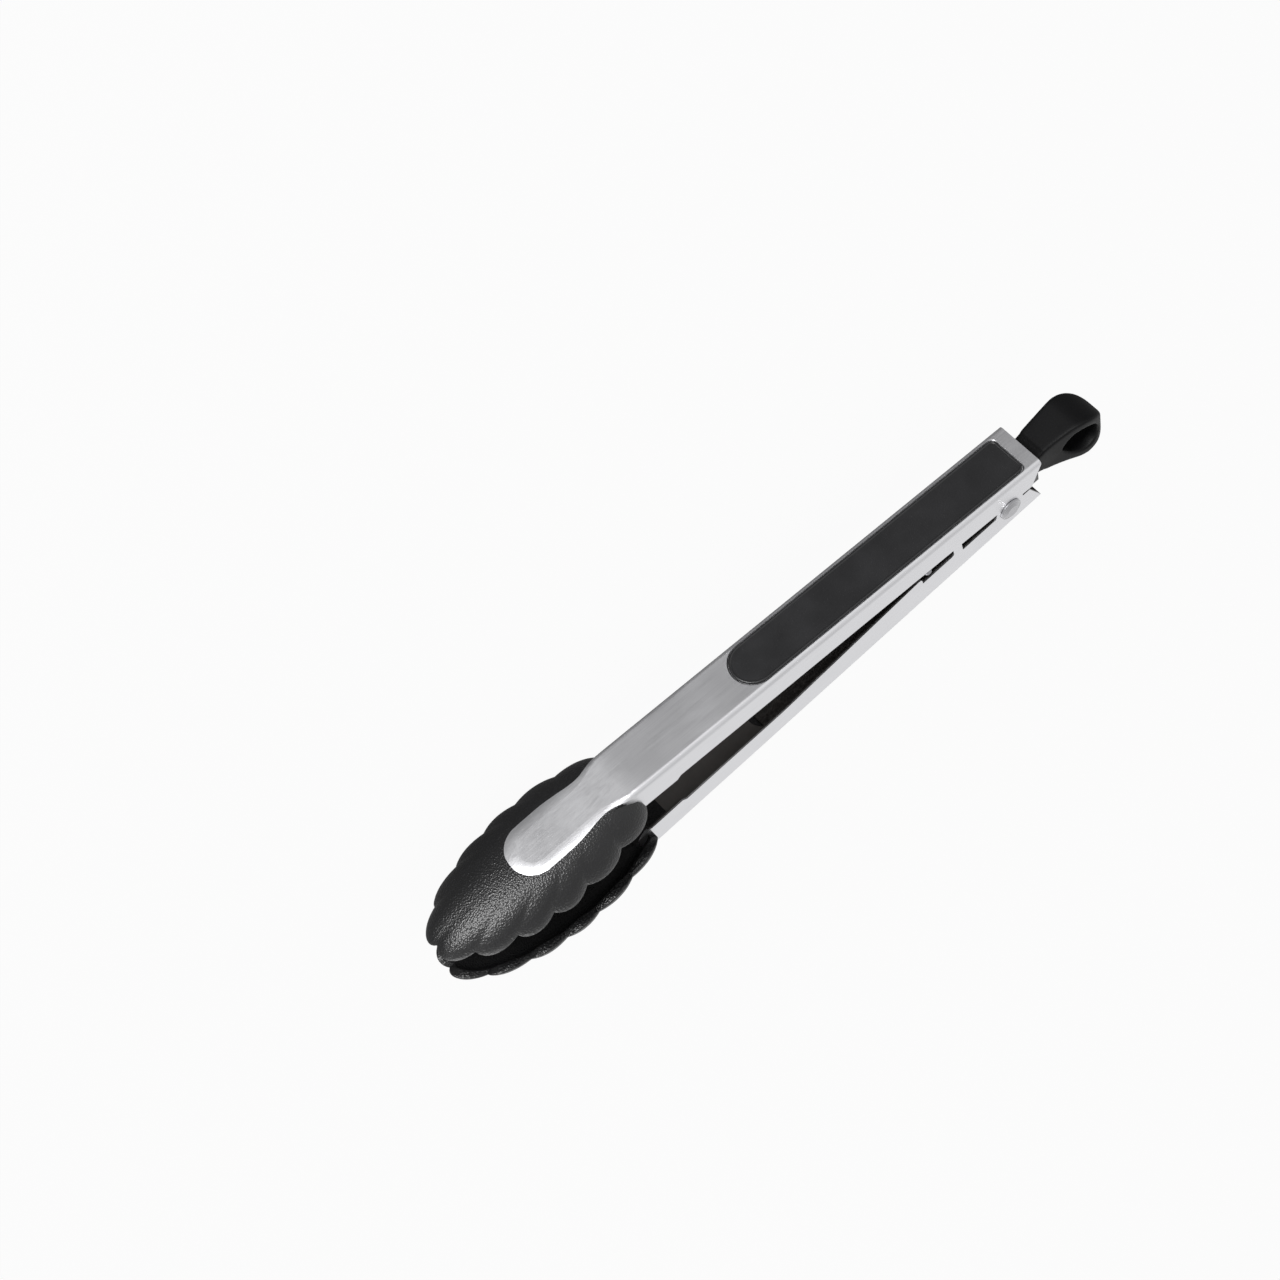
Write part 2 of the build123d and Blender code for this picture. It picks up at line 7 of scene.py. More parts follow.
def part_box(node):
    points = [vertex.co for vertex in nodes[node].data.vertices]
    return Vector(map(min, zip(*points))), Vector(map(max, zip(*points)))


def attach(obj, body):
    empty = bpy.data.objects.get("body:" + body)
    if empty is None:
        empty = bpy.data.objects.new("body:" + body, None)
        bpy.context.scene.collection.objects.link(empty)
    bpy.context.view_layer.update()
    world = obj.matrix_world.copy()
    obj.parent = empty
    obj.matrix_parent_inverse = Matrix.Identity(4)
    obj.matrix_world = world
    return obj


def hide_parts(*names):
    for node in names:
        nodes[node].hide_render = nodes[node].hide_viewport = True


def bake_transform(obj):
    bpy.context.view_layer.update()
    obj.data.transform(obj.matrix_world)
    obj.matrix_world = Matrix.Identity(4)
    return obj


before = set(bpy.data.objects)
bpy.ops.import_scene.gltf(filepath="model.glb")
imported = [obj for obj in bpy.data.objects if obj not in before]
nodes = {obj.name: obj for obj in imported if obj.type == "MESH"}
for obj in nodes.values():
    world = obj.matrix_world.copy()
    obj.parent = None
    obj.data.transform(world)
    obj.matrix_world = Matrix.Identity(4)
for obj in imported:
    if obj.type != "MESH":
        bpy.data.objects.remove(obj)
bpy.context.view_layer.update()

# ARMS
# Two identical pressings of 1 mm stainless strip, folded to a channel and rolled at the tongue.
# The outside is satin polished along its length before pressing; the inside of the channel
# is painted darker and warmer, as painted shade.

metre = 1000.0  # in millimetres, the unit of all sizes of the pieces
rivet_low, rivet_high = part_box("hinge_rivet")
hinge = (rivet_low + rivet_high) / 2
rest_angle = math.radians(3.2)
bend_x, web_y, web_inner = 146.0, -11.8, -10.8
layer_offset, channel_half, sheet = 0.6, 8.0, 1.0


def linear(colour):
    """Linear RGBA of an sRGB hex colour."""
    shares = [int(colour[i:i + 2], 16) / 255 for i in (1, 3, 5)]
    return [s / 12.92 if s <= 0.04045 else ((s + 0.055) / 1.055) ** 2.4 for s in shares] + [1.0]


def add_node(material, kind, sockets=None, **settings):
    """New node of one kind; sockets holds its inputs, each a value or another node's output."""
    node = material.node_tree.nodes.new("ShaderNode" + kind)
    for name, value in settings.items():
        setattr(node, name, value)
    for socket, value in (sockets or {}).items():
        if isinstance(value, bpy.types.NodeSocket):
            material.node_tree.links.new(value, node.inputs[socket])
        else:
            node.inputs[socket].default_value = value
    return node


def new_material(name, **constants):
    """Node material with constant sockets of its shader set; _ stands for a space in a name."""
    material = bpy.data.materials.new(name)
    material.use_nodes = True
    shader = material.node_tree.nodes["Principled BSDF"]
    for socket, value in constants.items():
        shader.inputs[socket.replace("_", " ")].default_value = value
    return material


def connect(material, sockets):
    """Link outputs to the named sockets of the material's shader."""
    shader = material.node_tree.nodes["Principled BSDF"]
    for socket, output in sockets.items():
        material.node_tree.links.new(output, shader.inputs[socket])


def satin_steel(name, turn):
    """Satin stainless steel: long soft scratches along the arm that spread a highlight.

    The scratches are drawn coarser than the real ones, to show. The inside of the channel is
    painted darker, as painted shade.
    """
    scratch_mm, cloud_mm, scratch_depth = (14.0, 0.3, 0.3), 16.0, 0.2
    material = new_material(name, Metallic=1.0)
    place = add_node(material, "TexCoord").outputs["Object"]
    on_arm = add_node(material, "Mapping", {"Vector": place, "Location": hinge, "Rotation": turn,
                                            "Scale": (1 / metre, 1 / metre, 1 / metre)},
                      vector_type="TEXTURE").outputs[0]
    along = add_node(material, "VectorMath", {0: on_arm, 1: scratch_mm}, operation="DIVIDE")
    scratches = add_node(material, "TexNoise", {"Vector": along.outputs[0], "Scale": 1.0,
                                                "Detail": 3.0, "Roughness": 0.6}).outputs["Fac"]
    clouds = add_node(material, "TexNoise", {"Vector": place, "Scale": metre / cloud_mm,
                                             "Detail": 2.0}).outputs["Fac"]
    split = add_node(material, "SeparateXYZ", {0: on_arm}).outputs
    # mask of the inside of the channel, where the painted shade goes
    straight = add_node(material, "Math", {0: split[0], 1: bend_x}, operation="LESS_THAN")
    behind = add_node(material, "Math", {0: split[1], 1: web_y + sheet / 2},
                      operation="GREATER_THAN")
    between = add_node(material, "Math", {0: split[2], 1: layer_offset,
                                          2: channel_half + sheet / 2}, operation="COMPARE")
    inside = add_node(material, "Math", {0: straight.outputs[0], 1: behind.outputs[0]},
                      operation="MULTIPLY")
    inside = add_node(material, "Math", {0: inside.outputs[0], 1: between.outputs[0]},
                      operation="MULTIPLY")
    tint = add_node(material, "Mix", {0: scratches, 6: linear("#cacacd"), 7: linear("#dedee0")},
                    data_type="RGBA")
    # painted shade: the inside of the channel is coloured much darker than the satin outside,
    # mottled by the clouds
    painted_channel_shade = add_node(material, "Mix", {0: clouds, 6: linear("#615e5c"), 7: linear("#797674")},
                     data_type="RGBA")
    colour = add_node(material, "Mix", {0: inside.outputs[0], 6: tint.outputs[2],
                                        7: painted_channel_shade.outputs[2]}, data_type="RGBA")
    worn = add_node(material, "Math", {0: scratches, 1: clouds}, operation="ADD")
    rough = add_node(material, "MapRange", {"Value": worn.outputs[0], "From Min": 0.6,
                                            "From Max": 1.4, "To Min": 0.3, "To Max": 0.42})
    relief = add_node(material, "Bump", {"Height": scratches, "Strength": 0.05,
                                         "Distance": scratch_depth / metre})
    connect(material, {"Base Color": colour.outputs[2], "Roughness": rough.outputs["Result"],
                       "Normal": relief.outputs["Normal"]})
    return material


def finish_node(name, material):
    """Give a CAD node its material."""
    nodes[name].data.materials.clear()
    nodes[name].data.materials.append(material)


finish_node("thumb_arm", satin_steel("satin_stainless_thumb", (0, 0, -rest_angle)))
finish_node("finger_arm", satin_steel("satin_stainless_finger", (math.pi, 0, rest_angle)))

# HEADS
# Scalloped cups of glass-filled nylon, moulded round the tongues of the arms, each with a plug that
# fills the end of the channel.
# The mould is spark eroded, which leaves a fine even grain on the back.


def place_on_arm(piece, side):
    """Move a mesh drawn in the thumb arm's own frame to where that side's arm rests."""
    turn = Matrix.Rotation(-rest_angle, 4, "Z")
    flip = Matrix.Rotation(math.pi, 4, "X") if side == "finger" else Matrix.Identity(4)
    piece.data.transform(Matrix.Translation(hinge) @ Matrix.Scale(1 / metre, 4) @ flip @ turn)


def named(name):
    """Name the object just added."""
    piece = bpy.context.object
    piece.name = name
    piece.data.name = name
    return piece


def close_up(edge_angle):
    """Merge doubles, turn the faces outwards and shade smooth up to an edge angle in degrees."""
    bpy.ops.object.mode_set(mode="EDIT")
    bpy.ops.mesh.select_all(action="SELECT")
    bpy.ops.mesh.remove_doubles(threshold=1e-5)
    bpy.ops.mesh.normals_make_consistent(inside=False)
    bpy.ops.object.mode_set(mode="OBJECT")
    bpy.ops.object.shade_smooth_by_angle(angle=math.radians(edge_angle))


def moulded_nylon(name, dark, light, grain_mm, depth_mm):
    """Black glass-filled nylon off a spark-eroded mould; pits break the highlight into specks.

    The pits are drawn coarser than the real grain, to show.
    """
    material = new_material(name, Roughness=0.34, IOR=1.53, Specular_IOR_Level=0.46)
    place = add_node(material, "TexCoord").outputs["Object"]
    pits = add_node(material, "TexVoronoi", {"Vector": place,
                                             "Scale": metre / grain_mm}).outputs["Distance"]
    grain = add_node(material, "Math", {0: pits, 1: pits}, operation="MULTIPLY").outputs[0]
    tint = add_node(material, "Mix", {0: grain, 6: linear(dark), 7: linear(light)},
                    data_type="RGBA")
    relief = add_node(material, "Bump", {"Height": grain, "Strength": 1.0,
                                         "Distance": depth_mm / metre})
    connect(material, {"Base Color": tint.outputs[2], "Normal": relief.outputs["Normal"]})
    return material


head_depth, notch_depth = 11.2, 1.9
rim_centre, rim_half = 31.0, Vector((40.9, 17.2))
crown_centre, crown_half = 19.0, Vector((14.0, 5.5))
cusps = (0.0, 34.0, 58.0, 76.5, 94.0, 115.5, 140.0)
lobe_bulge, wall, floor_depth, crown_drop = 1.3, 2.0, 2.4, 0.25
rim_round, head_tilt = 0.6, math.radians(4.75)
lobe_columns, rear_columns, cup_rows, lip_rows = 14, 16, 22, 5


def cup_columns():
    """Angle and lobe height round one ring of the cup, which the straight rear side closes."""
    marks = [-c for c in reversed(cusps[1:])] + list(cusps)
    ring = []
    for low, high in zip(marks, marks[1:]):
        for k in range(lobe_columns):
            share = k / lobe_columns
            ring.append((low + (high - low) * share, 1 - (2 * share - 1) ** 2))
    return ring + [(marks[-1], 0.0)]


def cup_ring(rise, inset, floor, lower, bulge):
    """Closed ring in the head's frame; rise is 0 at the notched rim and 1 at the crown."""
    ring = []
    for angle, lobe in cup_columns():
        start = math.asin((notch_depth * (1 - lobe) + lower) / (head_depth - floor))
        turn = start + (math.pi / 2 - start) * rise
        share = math.cos(turn)
        swell = bulge * lobe * share ** 2 - inset
        c, s = math.cos(math.radians(angle)), math.sin(math.radians(angle))
        rim = Vector((rim_centre + (rim_half.x + swell) * c, (rim_half.y + swell) * s))
        crown = Vector((crown_centre + (crown_half.x - inset / 2) * c,
                        (crown_half.y - inset / 2) * s))
        spot = crown.lerp(rim, share)
        depth = head_depth - (head_depth - floor) * math.sin(turn)
        ring.append(Vector((spot.x, depth, spot.y)))
    return ring + [ring[-1].lerp(ring[0], k / rear_columns) for k in range(1, rear_columns)]


def cup_rings():
    """Rings of the whole cup: outside from crown to rim, over the rim and down the inside."""
    lip = []
    for k in range(1, lip_rows + 1):
        turn = math.pi / 2 * k / lip_rows
        lip.append((rim_round * (1 - math.cos(turn)), rim_round * (1 - math.sin(turn))))
    rings = [cup_ring(1 - k / cup_rows, 0, crown_drop, rim_round, lobe_bulge)
             for k in range(cup_rows + 1)]
    rings += [cup_ring(0, inset, crown_drop, lower, lobe_bulge) for inset, lower in lip]
    rings += [cup_ring(0, wall - inset, floor_depth, lower, 0) for inset, lower in reversed(lip)]
    rings += [cup_ring(k / cup_rows, wall, floor_depth, rim_round, 0)
              for k in range(cup_rows + 1)]
    return rings


def combine(piece, tool, operation):
    """Join a closed tool mesh to a piece, cut it away or keep what they share; it is used up."""
    bpy.ops.object.select_all(action="DESELECT")
    bpy.context.view_layer.objects.active = piece
    piece.select_set(True)
    step = piece.modifiers.new("combine", "BOOLEAN")
    step.operation, step.solver, step.object = operation, "EXACT", tool
    bpy.ops.object.modifier_apply(modifier="combine")
    bpy.data.objects.remove(tool)


plug_rear, plug_front, plug_slant = 138.0, 153.0, 146.8
plug_depth, plug_flare = 8.5, 0.25
nylon = moulded_nylon("spark_eroded_nylon", "#070708", "#0d0d0f", 0.55, 0.11)
for side in ("thumb", "finger"):
    spots = [spot for ring in cup_rings() for spot in ring + ring[:1]]
    columns = len(cup_columns()) + rear_columns - 1
    bpy.ops.object.select_all(action="DESELECT")
    bpy.ops.mesh.primitive_grid_add(x_subdivisions=columns,
                                    y_subdivisions=len(spots) // (columns + 1) - 1)
    cup = named(side + "_cup")
    for vertex, spot in zip(cup.data.vertices, spots):
        vertex.co = spot
    cup.data.transform(Matrix.Translation((bend_x, web_y, 0))
                       @ Matrix.Rotation(head_tilt, 4, "Z"))
    bpy.ops.object.mode_set(mode="EDIT")
    bpy.ops.mesh.select_all(action="SELECT")
    bpy.ops.mesh.remove_doubles(threshold=1e-4)
    bpy.ops.mesh.fill_holes(sides=0)
    bpy.ops.mesh.normals_make_consistent(inside=False)
    bpy.ops.object.mode_set(mode="OBJECT")
    bpy.ops.object.select_all(action="DESELECT")
    bpy.ops.mesh.primitive_cube_add(size=1.0)
    plug = named(side + "_plug")
    for vertex in plug.data.vertices:
        ahead, deep, up = (c > 0 for c in vertex.co)
        front = plug_slant if deep else plug_front
        half = channel_half + (plug_flare if ahead else 0)
        vertex.co = (front if ahead else plug_rear, web_y + plug_depth if deep else web_inner,
                     layer_offset + (half if up else -half))
    combine(cup, plug, "UNION")
    place_on_arm(cup, side)
    close_up(edge_angle=28)
    cup.data.materials.append(nylon)
    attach(cup, side + "_side")
    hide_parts(side + "_head")

# GRIPS
# Soft pads of black thermoplastic elastomer with a beaded edge, let into windows in the webs.
# They are moulded in place, and the mould is bead blasted, which leaves them matt.

pad_rear, pad_front, pad_half, pad_corner = -8.0, 101.5, 7.1, 2.0
recess_depth, bead_foot, window_inset = 0.45, 0.2, 1.4
# Each step of the bead goes so far inwards and so far up.
bead_steps = ((0.08, 0.15), (0.14, 0.1), (0.2, 0.05), (0.2, -0.05), (0.14, -0.1), (0.1, -0.15),
              (0.5, 0.0))
front_arc, corner_arc = 36, 6


def soft_elastomer(name, dark, light, roughness, shine):
    """Black thermoplastic elastomer off a blasted mould: matt, with cloudy handling marks.

    Its fine grain is drawn coarser than the real one, to show.
    """
    grain_mm, cloud_mm, grain_depth, spread = 0.35, 9.0, 0.1, 0.06
    material = new_material(name, IOR=1.5, Specular_IOR_Level=shine)
    place = add_node(material, "TexCoord").outputs["Object"]
    grain = add_node(material, "TexNoise", {"Vector": place, "Scale": metre / grain_mm,
                                            "Detail": 2.0}).outputs["Fac"]
    clouds = add_node(material, "TexNoise", {"Vector": place, "Scale": metre / cloud_mm,
                                             "Detail": 3.0}).outputs["Fac"]
    tint = add_node(material, "Mix", {0: clouds, 6: linear(dark), 7: linear(light)},
                    data_type="RGBA")
    rough = add_node(material, "MapRange", {"Value": clouds, "From Min": 0.3, "From Max": 0.7,
                                            "To Min": roughness - spread,
                                            "To Max": roughness + spread})
    relief = add_node(material, "Bump", {"Height": grain, "Strength": 0.3,
                                         "Distance": grain_depth / metre})
    connect(material, {"Base Color": tint.outputs[2], "Roughness": rough.outputs["Result"],
                       "Normal": relief.outputs["Normal"]})
    return material


def arc(centre, radius, first, last, steps):
    """Points along an arc, angles in degrees."""
    turns = [math.radians(first + (last - first) * k / steps) for k in range(steps + 1)]
    return [centre + radius * Vector((math.cos(t), math.sin(t))) for t in turns]


def select_face(piece, up):
    """In edit mode, leave only the largest face that looks up or down selected."""
    level = 0.99
    bpy.ops.object.mode_set(mode="OBJECT")
    flat = [face for face in piece.data.polygons if face.normal.z * up > level]
    chosen = max(flat, key=lambda face: face.area).index
    bpy.ops.object.mode_set(mode="EDIT")
    bpy.ops.mesh.select_mode(type="FACE")
    bpy.ops.mesh.select_all(action="DESELECT")
    bpy.ops.object.mode_set(mode="OBJECT")
    piece.data.polygons[chosen].select = True
    bpy.ops.object.mode_set(mode="EDIT")


def prism(name, outline, low, high):
    """Upright prism between two heights on an outline that runs round once, anticlockwise."""
    bpy.ops.object.select_all(action="DESELECT")
    bpy.ops.mesh.primitive_cylinder_add(vertices=len(outline), end_fill_type="NGON")
    block = named(name)
    for vertex in block.data.vertices:
        k = round(math.atan2(vertex.co.y, vertex.co.x) / math.tau * len(outline))
        vertex.co = (*outline[k % len(outline)], high if vertex.co.z > 0 else low)
    return block


elastomer = soft_elastomer("bead_blasted_elastomer", "#131314", "#1b1b1d", 0.35, 0.5)
corner_x, corner_y = pad_rear + pad_corner, pad_half - pad_corner
outline = arc(Vector((pad_front - pad_half, 0)), pad_half, -90, 90, front_arc)
outline += arc(Vector((corner_x, corner_y)), pad_corner, 90, 180, corner_arc)
outline += arc(Vector((corner_x, -corner_y)), pad_corner, 180, 270, corner_arc)
window_depth = web_y - web_inner + recess_depth
for side in ("thumb", "finger"):
    pad = prism(side + "_pad", outline, -recess_depth, bead_foot)
    bpy.ops.object.mode_set(mode="EDIT")
    select_face(pad, 1)
    for inset, rise in bead_steps:
        bpy.ops.mesh.inset(thickness=inset, depth=rise, use_even_offset=True)
    select_face(pad, -1)
    bpy.ops.mesh.inset(thickness=window_inset, depth=0, use_even_offset=True)
    bpy.ops.mesh.extrude_region_move(TRANSFORM_OT_translate={"value": (0, 0, window_depth)})
    bpy.ops.object.mode_set(mode="OBJECT")
    pad.data.transform(Matrix.Translation((0, web_y, layer_offset))
                       @ Matrix.Rotation(math.pi / 2, 4, "X"))
    place_on_arm(pad, side)
    close_up(edge_angle=40)
    pad.data.materials.append(elastomer)
    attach(pad, side + "_side")
    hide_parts(side + "_grip")

# BACKING STRIPS
# Nylon strips inside the channels that the pads are moulded on to.
# Nobody sees more of them than a dark band, so they are left as they come off the mould.

backing = moulded_nylon("coarse_backing_nylon", "#2a2725", "#45413e", 1.2, 0.15)
finish_node("thumb_grip_backing", backing)
finish_node("finger_grip_backing", backing)

# HINGE RIVET AND SLEEVE
# A stainless rivet through the four ears of the arms, headed at both ends, with a nylon spacer
# sleeve between the ears.
# The rivet is turned, which leaves a bright finish with fine rings; the sleeve is moulded.


def turned_steel(name, dark, light, roughness):
    """Turned stainless steel: bright, with rings round the axis that fan the highlight out.

    The rings are drawn coarser than the real ones, to show.
    """
    ring_mm, spread = 0.25, 0.05
    material = new_material(name, Metallic=1.0)
    place = add_node(material, "TexCoord").outputs["Object"]
    middle = add_node(material, "Mapping", {"Vector": place, "Location": -hinge})
    flat = add_node(material, "VectorMath", {0: middle.outputs[0], 1: (1, 1, 0)},
                    operation="MULTIPLY")
    radius = add_node(material, "VectorMath", {0: flat.outputs[0]}, operation="LENGTH")
    rings = add_node(material, "TexNoise", {"W": radius.outputs["Value"], "Scale": metre / ring_mm,
                                            "Detail": 2.0}, noise_dimensions="1D").outputs["Fac"]
    tint = add_node(material, "Mix", {0: rings, 6: linear(dark), 7: linear(light)},
                    data_type="RGBA")
    rough = add_node(material, "MapRange", {"Value": rings, "From Min": 0.3, "From Max": 0.7,
                                            "To Min": roughness - spread,
                                            "To Max": roughness + spread})
    connect(material, {"Base Color": tint.outputs[2], "Roughness": rough.outputs["Result"]})
    return material


finish_node("hinge_rivet", turned_steel("turned_stainless", "#8d8d90", "#c4c4c6", 0.25))
sleeve_nylon = moulded_nylon("plain_sleeve_nylon", "#1c1c1e", "#29292b", 1.2, 0.03)
finish_node("hinge_sleeve", sleeve_nylon)

# TORSION SPRING
# One length of 1.3 mm music wire, wound four turns round the sleeve, with a leg along each arm.
# The legs press on the backing strips.

wire_radius, coil_radius, coil_rise, coil_turns = 0.65, 4.3, 8.8, 5
leg_tip = Vector((40.0, 11.118))
wire_sides, turn_steps, leg_steps, tip_bevel = 16, 40, 24, 0.2
leg_start = math.atan2(leg_tip.y, leg_tip.x) + math.acos(coil_radius / leg_tip.length)


def music_wire(name):
    """Drawn music wire: cold grey steel with streaks along the draw and dull patches of oil.

    The streaks are drawn coarser than the real ones, to show.
    """
    streak_mm, patch_mm = 0.4, 3.0
    material = new_material(name, Metallic=1.0)
    place = add_node(material, "TexCoord").outputs["Object"]
    streaks = add_node(material, "TexNoise", {"Vector": place, "Scale": metre / streak_mm,
                                              "Detail": 2.0}).outputs["Fac"]
    patches = add_node(material, "TexNoise", {"Vector": place,
                                              "Scale": metre / patch_mm}).outputs["Fac"]
    tint = add_node(material, "Mix", {0: streaks, 6: linear("#67676b"), 7: linear("#8f8f93")},
                    data_type="RGBA")
    rough = add_node(material, "MapRange", {"Value": patches, "From Min": 0.3, "From Max": 0.7,
                                            "To Min": 0.22, "To Max": 0.38})
    connect(material, {"Base Color": tint.outputs[2], "Roughness": rough.outputs["Result"]})
    return material


def place_at_hinge(piece):
    """Move a mesh drawn round the hinge axis to where the hinge is."""
    piece.data.transform(Matrix.Translation(hinge) @ Matrix.Scale(1 / metre, 4))


wire_steel = music_wire("drawn_music_wire")
bpy.ops.object.select_all(action="DESELECT")
bpy.ops.mesh.primitive_circle_add(vertices=wire_sides, radius=wire_radius)
coil = named("spring_coil")
coil.data.transform(Matrix.Rotation(leg_start, 4, "Z")
                    @ Matrix.Translation((coil_radius, 0, -coil_rise / 2))
                    @ Matrix.Rotation(math.pi / 2, 4, "X"))
winding = coil.modifiers.new("winding", "SCREW")
winding.axis, winding.screw_offset = "Z", coil_rise
winding.angle = math.tau * coil_turns - 2 * leg_start
winding.steps = winding.render_steps = round(winding.angle / math.tau * turn_steps)
bpy.ops.object.modifier_apply(modifier="winding")
bpy.ops.object.mode_set(mode="EDIT")
bpy.ops.mesh.select_all(action="SELECT")
bpy.ops.mesh.fill_holes(sides=0)
bpy.ops.object.mode_set(mode="OBJECT")
place_at_hinge(coil)
close_up(edge_angle=50)
coil.data.materials.append(wire_steel)
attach(coil, "hinge")
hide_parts("torsion_spring")

for side, up in (("finger", 1), ("thumb", -1)):
    root = Vector((coil_radius * math.cos(leg_start), up * coil_radius * math.sin(leg_start),
                   -up * coil_rise / 2))
    tip = Vector((leg_tip.x, up * leg_tip.y, -up * coil_rise / 2))
    stretch = (tip - root).length / leg_steps
    bpy.ops.object.select_all(action="DESELECT")
    bpy.ops.mesh.primitive_circle_add(vertices=wire_sides, radius=wire_radius, fill_type="NGON")
    leg = named(side + "_spring_leg")
    bpy.ops.object.mode_set(mode="EDIT")
    bpy.ops.mesh.select_all(action="SELECT")
    for _ in range(leg_steps):
        bpy.ops.mesh.extrude_region_move(TRANSFORM_OT_translate={"value": (0, 0, stretch)})
    bpy.ops.mesh.bevel(offset=tip_bevel, segments=3)
    bpy.ops.object.mode_set(mode="OBJECT")
    leg.data.transform(Matrix.Translation(root)
                       @ (tip - root).to_track_quat("Z", "Y").to_matrix().to_4x4())
    place_at_hinge(leg)
    close_up(edge_angle=50)
    leg.data.materials.append(wire_steel)
    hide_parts("torsion_spring")
    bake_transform(leg)

# LOCK SLIDE AND BAR
# A nylon slide that straddles the rivet, with a steel cross bar pressed into its nose.
# The slide is moulded smooth to run easily; the bar is cut from drawn rod.

slide_nylon = moulded_nylon("smooth_slide_nylon", "#1c1c1e", "#29292b", 1.6, 0.02)
finish_node("lock_slide", slide_nylon)
finish_node("lock_bar", music_wire("drawn_bar_steel"))

# PULL TAB
# A loop of soft black elastomer moulded on the stem of the slide, to pull the lock out and to hang
# the tongs by.
# Its edges are well rounded, it widens from the neck to the end, and it leans a little to one side.

tab_front, tab_end, tab_radius, tab_neck = -14.2, -41.5, 9.3, 4.2
neck_half, end_half, end_depth, tab_lean, tab_flare = 5.1, 8.6, 11.0, 3.6, 1.6
skirt_front, skirt_step = -18.4, 0.45
hole_radius, tip_radius, tip_offset = 5.8, 1.6, 5.4
loop_columns, plan_columns, voxel, softening = 240, 60, 0.26, 50
tab_centre = tab_end + tab_radius


def loop_outside(angle):
    """Distance from the middle of the hole to the outside of the loop, in side view."""
    front = tab_front - tab_centre
    tangent = math.atan2(tab_neck, front) + math.acos(tab_radius / math.hypot(front, tab_neck))
    if abs(angle) >= tangent:
        return tab_radius
    if abs(angle) >= math.atan2(tab_neck, front):
        return tab_radius / math.cos(abs(angle) - tangent)
    return front / math.cos(angle)


def loop_inside(angle):
    """Distance from the middle of the hole to the edge of its drop shape."""
    tangent = math.acos((hole_radius - tip_radius) / tip_offset)
    if abs(angle) >= tangent:
        return hole_radius
    touch_x = tip_offset + tip_radius * math.cos(tangent)
    if abs(angle) >= math.atan2(tip_radius * math.sin(tangent), touch_x):
        return hole_radius / math.cos(abs(angle) - tangent)
    across = tip_offset * math.sin(angle)
    return tip_offset * math.cos(angle) + math.sqrt(tip_radius ** 2 - across ** 2)


def loop_outline(distance):
    """Outline round the hole from its distance at each angle; the neck steps in at the skirt."""
    points = []
    for k in range(loop_columns):
        angle = math.remainder(math.tau * k / loop_columns, math.tau)
        x = tab_centre + distance(angle) * math.cos(angle)
        y = distance(angle) * math.sin(angle)
        if x > skirt_front and abs(y) > skirt_step:
            y -= math.copysign(skirt_step, y)
        points.append((x, y))
    return points


def tab_plan():
    """Outline of the loop across its width: flaring from the neck, leaning, with a round end."""
    near, far = [], []
    for k in range(plan_columns + 1):
        share = math.sin(math.pi / 2 * k / plan_columns)
        x = tab_front + (tab_end - tab_front) * share
        into_end = max(0.0, (tab_end + end_depth - x) / end_depth)
        flared = neck_half + (end_half - neck_half) * share ** tab_flare
        half = flared * math.sqrt(max(0.0, 1 - into_end ** 2))
        near.append((x, tab_lean * share ** 2 + half))
        far.append((x, tab_lean * share ** 2 - half))
    return near + far[-2::-1]


tab = prism("pull_loop", loop_outline(loop_outside), -tab_radius, tab_radius)
plan = prism("loop_plan", tab_plan(), -2 * tab_radius, 2 * tab_radius)
plan.data.transform(Matrix.Rotation(math.pi / 2, 4, "X"))
combine(tab, plan, "INTERSECT")
hole = prism("loop_hole", loop_outline(loop_inside), -2 * tab_radius, 2 * tab_radius)
combine(tab, hole, "DIFFERENCE")
skin = tab.modifiers.new("skin", "REMESH")
skin.mode, skin.voxel_size = "VOXEL", voxel
bpy.ops.object.modifier_apply(modifier="skin")
soft = tab.modifiers.new("soft_edges", "SMOOTH")
soft.factor, soft.iterations = 0.5, softening
bpy.ops.object.modifier_apply(modifier="soft_edges")
place_at_hinge(tab)
bpy.ops.object.shade_smooth()
tab.data.materials.append(soft_elastomer("matt_loop_elastomer", "#070708", "#0c0c0d", 0.5, 0.12))
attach(tab, "lock")
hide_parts("pull_tab")

# FLOOR, LIGHT AND CAMERA
# A pale sweep with a soft box behind the object and a low strip in front, in a bright plain room.
# The paper is veiled with its own white for the eye and a little for reflections, and keeps a soft
# shadow. The camera stands where the photograph was taken.

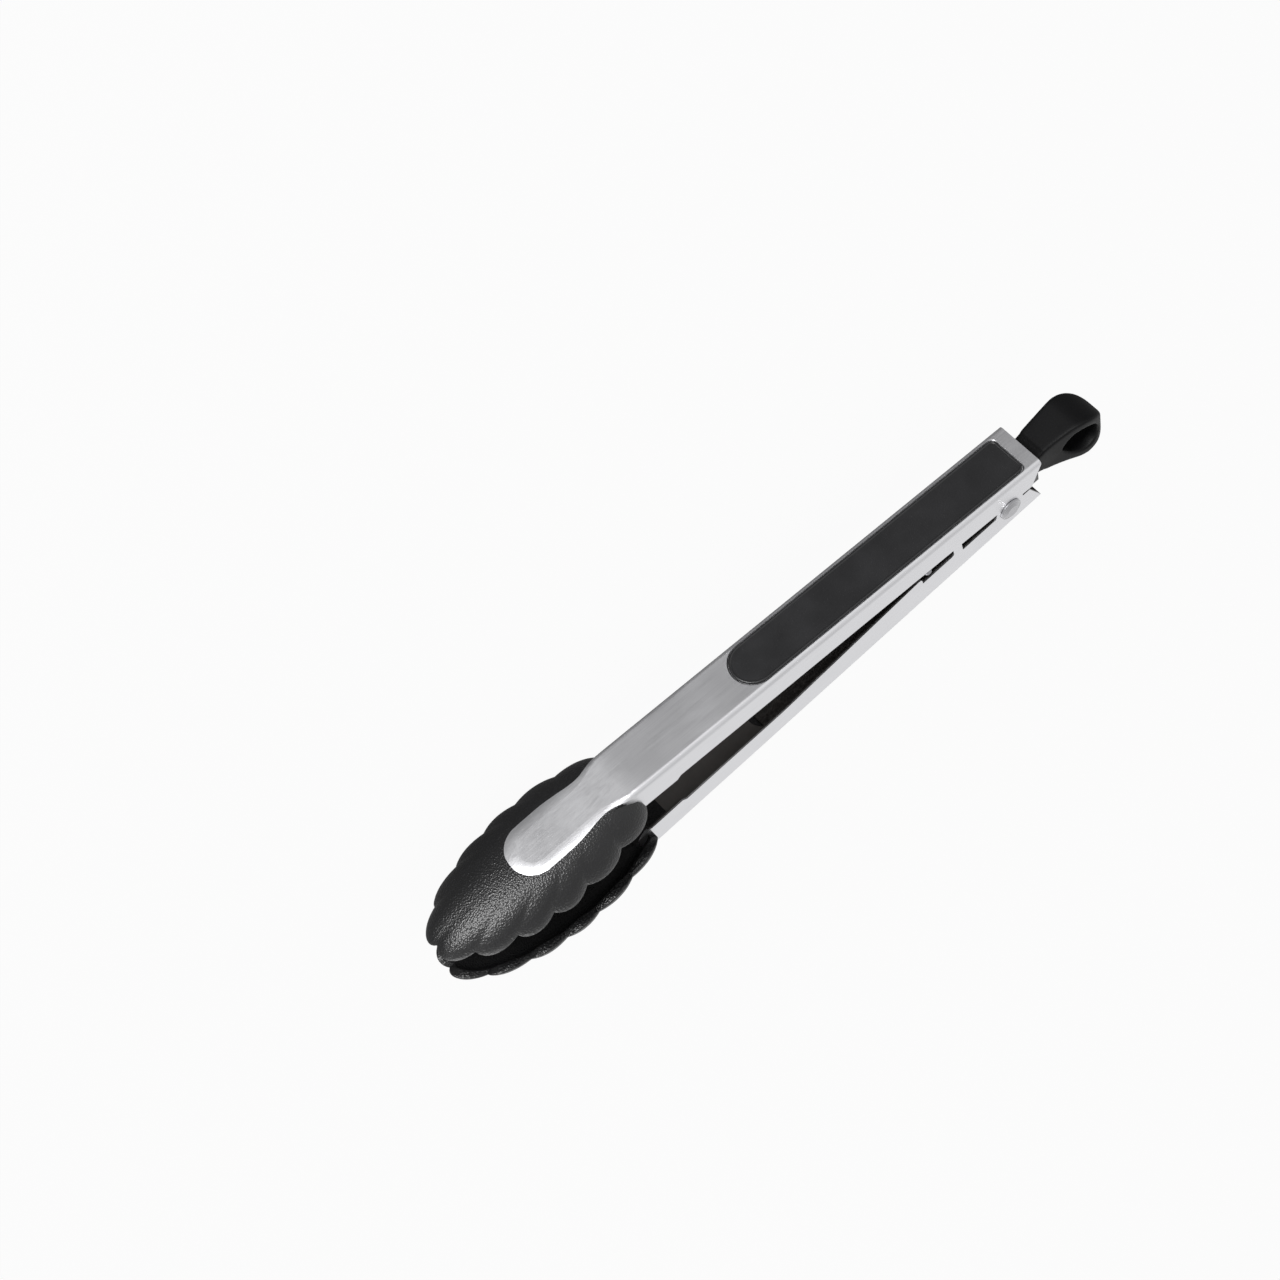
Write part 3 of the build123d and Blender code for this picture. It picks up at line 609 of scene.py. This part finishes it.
veil_seen, veil_mirrored = 0.95, 0.05
bpy.ops.object.select_all(action="DESELECT")
bpy.ops.mesh.primitive_plane_add(size=6.0)
ground = named("studio_floor")
paper = new_material("pale_paper", Base_Color=linear("#959595"), Roughness=0.9)
seen = add_node(paper, "LightPath").outputs
clear = add_node(paper, "Math", {0: seen["Is Camera Ray"], 1: seen["Is Transmission Ray"]},
                 operation="MAXIMUM")
clear = add_node(paper, "Math", {0: clear.outputs[0], 1: veil_seen}, operation="MULTIPLY")
mirrored = add_node(paper, "Math", {0: seen["Is Glossy Ray"], 1: veil_mirrored},
                    operation="MULTIPLY")
veil = add_node(paper, "Math", {0: clear.outputs[0], 1: mirrored.outputs[0]}, operation="ADD")
white = add_node(paper, "Emission", {"Color": linear("#ffffff"), "Strength": 1.0})
paper_nodes = paper.node_tree.nodes
mixed = add_node(paper, "MixShader", {0: veil.outputs[0], 2: white.outputs[0],
                                      1: paper_nodes["Principled BSDF"].outputs[0]})
paper.node_tree.links.new(mixed.outputs[0], paper_nodes["Material Output"].inputs["Surface"])
ground.data.materials.append(paper)

world = bpy.data.worlds.new("studio")
bpy.context.scene.world = world
world.use_nodes = True
room = world.node_tree.nodes["Background"]
room.inputs["Color"].default_value = linear("#ffffff")
rays = add_node(world, "LightPath").outputs
plain = add_node(world, "Math", {0: rays["Is Camera Ray"], 1: rays["Is Transmission Ray"]},
                 operation="MAXIMUM")
way = add_node(world, "SeparateXYZ", {0: add_node(world, "TexCoord").outputs["Generated"]})
walls = add_node(world, "MapRange", {"Value": way.outputs["Z"], "From Min": 0.45, "From Max": 1.0,
                                     "To Min": 1.0, "To Max": 0.72})
level = add_node(world, "Math", {0: walls.outputs["Result"], 1: plain.outputs[0]},
                 operation="MAXIMUM")
world.node_tree.links.new(level.outputs[0], room.inputs["Strength"])

lamp_target = Vector((0.03, 0, 0.02))
for name, spot, width, height, power in (("back_softbox", (0.7, 0.9, 0.5), 0.8, 0.8, 4.0),
                                         ("front_strip", (0.57, -0.94, 0.09), 0.8, 0.17, 13.5)):
    bpy.ops.object.light_add(type="AREA", location=spot)
    lamp = bpy.context.object
    lamp.name = name
    lamp.data.shape = "RECTANGLE"
    lamp.data.size, lamp.data.size_y = width, height
    lamp.data.energy = power
    lamp.rotation_euler = (lamp_target - Vector(spot)).to_track_quat("-Z", "Y").to_euler()

bpy.ops.object.camera_add(location=(0.20285884, -0.82133455, 0.38185014),
                          rotation=(-0.97301178, -0.70263323, 2.94517484))
camera = bpy.context.object
camera.name = "photo_camera"
camera.data.sensor_width = 36.0
camera.data.lens = 87.36569
bpy.context.scene.camera = camera
bpy.context.scene.view_settings.view_transform = "Standard"
